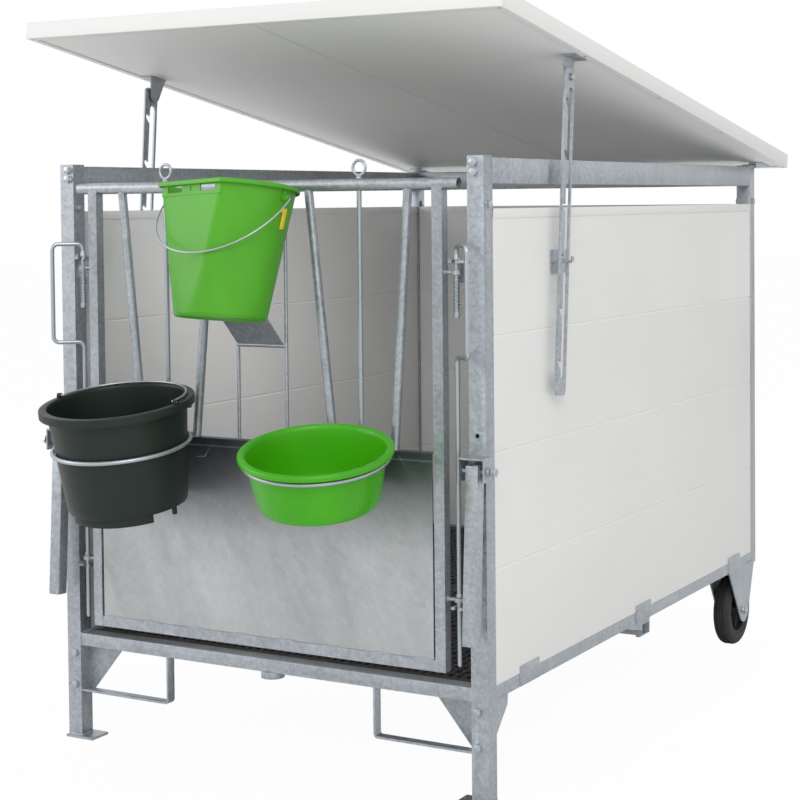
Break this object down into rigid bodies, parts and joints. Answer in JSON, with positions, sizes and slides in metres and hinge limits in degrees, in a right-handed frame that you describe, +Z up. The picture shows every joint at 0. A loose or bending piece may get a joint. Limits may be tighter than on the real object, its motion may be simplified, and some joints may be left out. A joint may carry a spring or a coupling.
{
  "type": "mobile calf box",
  "caption": "Single calf box of steel frame and plastic planks on rear wheels, with propped roof, feeding gate, buckets and bowl.",
  "frame": {"origin": "on the ground under the middle of the whole box's plan, roof and buckets included", "axes": "+Z up, +Y from the feeding gate to the wheels, +X to the right when one looks at the gate from outside"},
  "size_m": [1.289, 2.2044, 1.738],
  "materials": {
    "galvanised_steel": "dull spangled zinc",
    "galvanised_sheet": "brighter smooth zinc",
    "white_plank": "satin hollow plastic plank",
    "roof_skin": "glossy coated panel",
    "floor_grid": "dark matt slatted plastic",
    "tyre_rubber": "black rubber",
    "wheel_rim": "grey wheel body",
    "green_bucket": "glossy light green",
    "green_bowl": "glossy deep green",
    "dark_bucket": "dark green-grey, satin",
    "yellow_clip": "yellow plastic"
  },
  "bodies": {
    "frame": {"post_front_left": "galvanised_steel", "post_front_right": "galvanised_steel", "post_rear_left": "galvanised_steel", "post_rear_right": "galvanised_steel", "beam_front": "galvanised_steel", "beam_rear": "galvanised_steel", "rail_lower_left": "galvanised_steel", "rail_lower_right": "galvanised_steel", "rail_upper_left": "galvanised_steel", "rail_upper_right": "galvanised_steel", "crossbar_rear": "galvanised_steel", "cross_member": "galvanised_steel", "lift_loop_left": "galvanised_steel", "lift_loop_right": "galvanised_steel", "wall_left": "white_plank", "wall_right": "white_plank", "wall_rear": "white_plank", "wall_cap_left": "white_plank", "wall_cap_right": "white_plank", "wall_cap_rear": "white_plank", "floor_panel_front": "floor_grid", "floor_panel_rear": "floor_grid", "wheel_fork_left": "galvanised_steel", "wheel_fork_right": "galvanised_steel", "strut_pin_left": "galvanised_steel", "strut_pin_right": "galvanised_steel", "handle_bracket_left": "galvanised_steel", "handle_bracket_right": "galvanised_steel"},
    "roof": {"roof_panel": "roof_skin", "roof_trim": "roof_skin", "roof_hinge_left": "galvanised_steel", "roof_hinge_right": "galvanised_steel", "strut_bracket_left": "galvanised_steel", "strut_bracket_right": "galvanised_steel"},
    "strut_left": {"strut_left": "galvanised_steel"},
    "strut_right": {"strut_right": "galvanised_steel"},
    "gate": {"gate_frame": "galvanised_steel", "gate_sheet": "galvanised_sheet", "dark_bucket_ring": "galvanised_steel", "feed_bowl_ring": "galvanised_steel"},
    "ring_rod_left": {"ring_rod_left": "galvanised_steel"},
    "ring_rod_right": {"ring_rod_right": "galvanised_steel"},
    "latch_left": {"latch_rod_left": "galvanised_steel", "latch_spring_left": "galvanised_steel"},
    "latch_right": {"latch_rod_right": "galvanised_steel", "latch_spring_right": "galvanised_steel"},
    "fold_handle_left": {"fold_handle_left": "galvanised_steel"},
    "fold_handle_right": {"fold_handle_right": "galvanised_steel"},
    "wheel_left": {"wheel_rim_left": "wheel_rim", "tyre_left": "tyre_rubber"},
    "wheel_right": {"wheel_rim_right": "wheel_rim", "tyre_right": "tyre_rubber"},
    "green_bucket": {"green_bucket": "green_bucket", "bail_clip": "yellow_clip"},
    "green_bucket_bail": {"green_bucket_bail": "galvanised_steel"},
    "dark_bucket": {"dark_bucket": "dark_bucket"},
    "dark_bucket_bail": {"dark_bucket_bail": "galvanised_steel"},
    "feed_bowl": {"feed_bowl": "green_bowl"}
  },
  "joints": [
    {"name": "roof_hinge", "type": "hinge", "parent": "frame", "child": "roof", "pos_m": [0, 1.00414, 1.392], "axis": [-1, 0, 0], "range_deg": [-9.5, 10]},
    {"name": "strut_left_pivot", "type": "hinge", "parent": "roof", "child": "strut_left", "pos_m": [-0.6, -0.33585, 1.57852], "axis": [-1, 0, 0], "range_deg": [-8.3, 7.9]},
    {"name": "strut_right_pivot", "type": "hinge", "parent": "roof", "child": "strut_right", "pos_m": [0.6, -0.33585, 1.57852], "axis": [-1, 0, 0], "range_deg": [-8.3, 7.9]},
    {"name": "gate_swing", "type": "hinge", "parent": "frame", "child": "gate", "pos_m": [-0.511, -0.72586, 0.8], "axis": [0, 0, -1], "range_deg": [0, 95]},
    {"name": "latch_left_lift", "type": "slide", "parent": "frame", "child": "latch_left", "axis": [0, 0, 1], "range_m": [0, 0.04], "stiffness_N_per_m": 400, "springref_m": -0.02, "deforming": ["latch_spring_left"]},
    {"name": "latch_right_lift", "type": "slide", "parent": "gate", "child": "latch_right", "axis": [0, 0, 1], "range_m": [0, 0.04], "stiffness_N_per_m": 400, "springref_m": -0.02, "deforming": ["latch_spring_right"]},
    {"name": "ring_rod_left_lift", "type": "slide", "parent": "gate", "child": "ring_rod_left", "axis": [0, 0, 1], "range_m": [0, 0.25]},
    {"name": "ring_rod_right_lift", "type": "slide", "parent": "gate", "child": "ring_rod_right", "axis": [0, 0, 1], "range_m": [0, 0.25]},
    {"name": "fold_handle_left_fold", "type": "hinge", "parent": "frame", "child": "fold_handle_left", "pos_m": [-0.565, -0.75186, 0.728], "axis": [1, 0, 0], "range_deg": [-90, 0]},
    {"name": "fold_handle_right_fold", "type": "hinge", "parent": "frame", "child": "fold_handle_right", "pos_m": [0.565, -0.75186, 0.728], "axis": [-1, 0, 0], "range_deg": [0, 90]},
    {"name": "wheel_left_spin", "type": "hinge", "parent": "frame", "child": "wheel_left", "pos_m": [-0.543, 0.88014, 0.1], "axis": [1, 0, 0], "continuous": true},
    {"name": "wheel_right_spin", "type": "hinge", "parent": "frame", "child": "wheel_right", "pos_m": [0.543, 0.88014, 0.1], "axis": [1, 0, 0], "continuous": true},
    {"name": "green_bucket_lift", "type": "slide", "parent": "gate", "child": "green_bucket", "axis": [0, -0.342, 0.9397], "range_m": [0, 0.06]},
    {"name": "green_bail_swing", "type": "hinge", "parent": "green_bucket", "child": "green_bucket_bail", "pos_m": [0.04, -0.89451, 1.30724], "axis": [-1, 0, 0], "range_deg": [0, 110]},
    {"name": "dark_bucket_lift", "type": "slide", "parent": "gate", "child": "dark_bucket", "axis": [0, -0.1507, 0.9886], "range_m": [0, 0.12]},
    {"name": "dark_bail_swing", "type": "hinge", "parent": "dark_bucket", "child": "dark_bucket_bail", "pos_m": [-0.2472, -0.93124, 0.86265], "axis": [1, 0, 0], "range_deg": [0, 175]},
    {"name": "feed_bowl_lift", "type": "slide", "parent": "gate", "child": "feed_bowl", "axis": [0.0683, -0.2028, 0.9768], "range_m": [0, 0.12]}
  ],
  "couplings": [
    {"joint": "strut_left_pivot", "follows": "roof_hinge", "ratio": -0.824},
    {"joint": "strut_right_pivot", "follows": "roof_hinge", "ratio": -0.824}
  ]
}
